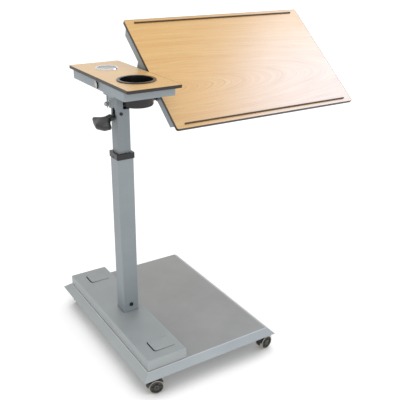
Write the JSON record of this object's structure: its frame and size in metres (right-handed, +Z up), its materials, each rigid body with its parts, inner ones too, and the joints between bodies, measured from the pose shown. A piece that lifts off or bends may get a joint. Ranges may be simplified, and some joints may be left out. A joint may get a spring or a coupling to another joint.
{
  "type": "mobile tilting work table",
  "caption": "Mobile work table on casters: square telescopic column, fixed side table with cup well, and a wide desk top that tilts on a side shaft.",
  "frame": {"origin": "on the floor, below the middle of the whole table as pictured", "axes": "+X from the column to the desk top, +Y to the back, +Z up"},
  "size_m": [0.959, 0.636, 1.0034],
  "materials": {
    "steel_light": "fine silver-grey powder coat",
    "steel_base": "fine light grey powder coat",
    "laminate": "satin beech laminate",
    "band": "matt black-brown edge band",
    "plastic_black": "moulded, lightly grained",
    "plastic_white": "moulded nylon",
    "plastic_grey": "moulded, satin",
    "chrome": "bright chrome",
    "zinc": "zinc plated",
    "steel_dark": "blackened",
    "tread": "grey-beige tread",
    "wheel": "moulded nylon"
  },
  "bodies": {
    "base": {"base_tray": "steel_base", "caster_pads": "zinc", "caster_stems": "zinc", "plinth_cover": "steel_base", "lower_tube": "steel_light", "foot_plate": "steel_light", "foot_bolts": "zinc", "column_collar": "plastic_black", "collar_screw": "steel_dark", "spring_cylinder": "steel_dark", "anchor_bolt": "steel_dark"},
    "head": {"upper_tube": "steel_light", "guide_bush": "plastic_white", "spring_rod": "chrome", "rod_seat": "zinc", "lever_pin": "steel_dark", "head_bracket": "steel_light", "shaft_bushes": "plastic_white", "side_pan": "steel_light", "side_board": "laminate", "side_edge_band": "band", "side_screws": "zinc", "grommet_ring": "chrome", "port_bush": "plastic_grey"},
    "grommet_cap": {"grommet_lid": "chrome"},
    "cup": {"cup_insert": "plastic_black"},
    "lever": {"release_lever": "steel_dark", "lever_grip": "plastic_black"},
    "trigger": {"release_pin": "steel_dark"},
    "desk": {"desk_board": "laminate", "desk_edge_band": "band", "lower_ledge": "band", "upper_ledge": "band", "left_rail": "steel_light", "right_rail": "steel_light", "left_gusset": "steel_light", "right_gusset": "steel_light", "torsion_tube": "steel_light", "tilt_shaft": "zinc", "shaft_spacer": "plastic_black", "shaft_nut": "zinc", "desk_screws": "zinc"},
    "front_left_caster": {"front_left_fork": "plastic_black", "front_left_axle": "zinc"},
    "front_left_wheel_pair": {"front_left_wheels": "wheel", "front_left_treads": "tread"},
    "front_right_caster": {"front_right_fork": "plastic_black", "front_right_axle": "zinc"},
    "front_right_wheel_pair": {"front_right_wheels": "wheel", "front_right_treads": "tread"},
    "back_left_caster": {"back_left_fork": "plastic_black", "back_left_axle": "zinc"},
    "back_left_wheel_pair": {"back_left_wheels": "wheel", "back_left_treads": "tread"},
    "back_right_caster": {"back_right_fork": "plastic_black", "back_right_axle": "zinc"},
    "back_right_wheel_pair": {"back_right_wheels": "wheel", "back_right_treads": "tread"}
  },
  "joints": [
    {"name": "height_slide", "type": "slide", "parent": "base", "child": "head", "axis": [0, 0, 1], "range_m": [-0.08, 0.2]},
    {"name": "desk_tilt", "type": "hinge", "parent": "head", "child": "desk", "pos_m": [-0.3735, 0.046, 0.797], "axis": [1, 0, 0], "range_deg": [-39, 36]},
    {"name": "lever_lift", "type": "hinge", "parent": "head", "child": "lever", "pos_m": [-0.38076, 0, 0.78], "axis": [0, 1, 0], "range_deg": [0, 10], "stiffness_Nm_per_rad": 1.5, "springref_deg": -8.59},
    {"name": "trigger_press", "type": "slide", "parent": "head", "child": "trigger", "axis": [0, 0, -1], "range_m": [0, 0.0025]},
    {"name": "cup_lift", "type": "slide", "parent": "head", "child": "cup", "axis": [0, 0, 1], "range_m": [0, 0.09]},
    {"name": "grommet_cap_lift", "type": "slide", "parent": "head", "child": "grommet_cap", "axis": [0, 0, 1], "range_m": [0, 0.02]},
    {"name": "front_left_swivel", "type": "hinge", "parent": "base", "child": "front_left_caster", "pos_m": [-0.4455, -0.284, 0.06], "axis": [0, 0, 1], "continuous": true},
    {"name": "front_left_roll", "type": "hinge", "parent": "front_left_caster", "child": "front_left_wheel_pair", "pos_m": [-0.42908, -0.2884, 0.023], "axis": [0.2588, 0.9659, 0], "continuous": true},
    {"name": "front_right_swivel", "type": "hinge", "parent": "base", "child": "front_right_caster", "pos_m": [-0.0355, -0.284, 0.06], "axis": [0, 0, 1], "continuous": true},
    {"name": "front_right_roll", "type": "hinge", "parent": "front_right_caster", "child": "front_right_wheel_pair", "pos_m": [-0.01867, -0.28163, 0.023], "axis": [-0.1392, 0.9903, 0], "continuous": true},
    {"name": "back_left_swivel", "type": "hinge", "parent": "base", "child": "back_left_caster", "pos_m": [-0.4455, 0.284, 0.06], "axis": [0, 0, 1], "continuous": true},
    {"name": "back_left_roll", "type": "hinge", "parent": "back_left_caster", "child": "back_left_wheel_pair", "pos_m": [-0.42908, 0.2884, 0.023], "axis": [-0.2588, 0.9659, 0], "continuous": true},
    {"name": "back_right_swivel", "type": "hinge", "parent": "base", "child": "back_right_caster", "pos_m": [-0.0355, 0.284, 0.06], "axis": [0, 0, 1], "continuous": true},
    {"name": "back_right_roll", "type": "hinge", "parent": "back_right_caster", "child": "back_right_wheel_pair", "pos_m": [-0.01867, 0.28163, 0.023], "axis": [0.1392, 0.9903, 0], "continuous": true}
  ],
  "couplings": [
    {"joint": "trigger_press", "follows": "lever_lift", "m_per_rad": 0.0125}
  ]
}
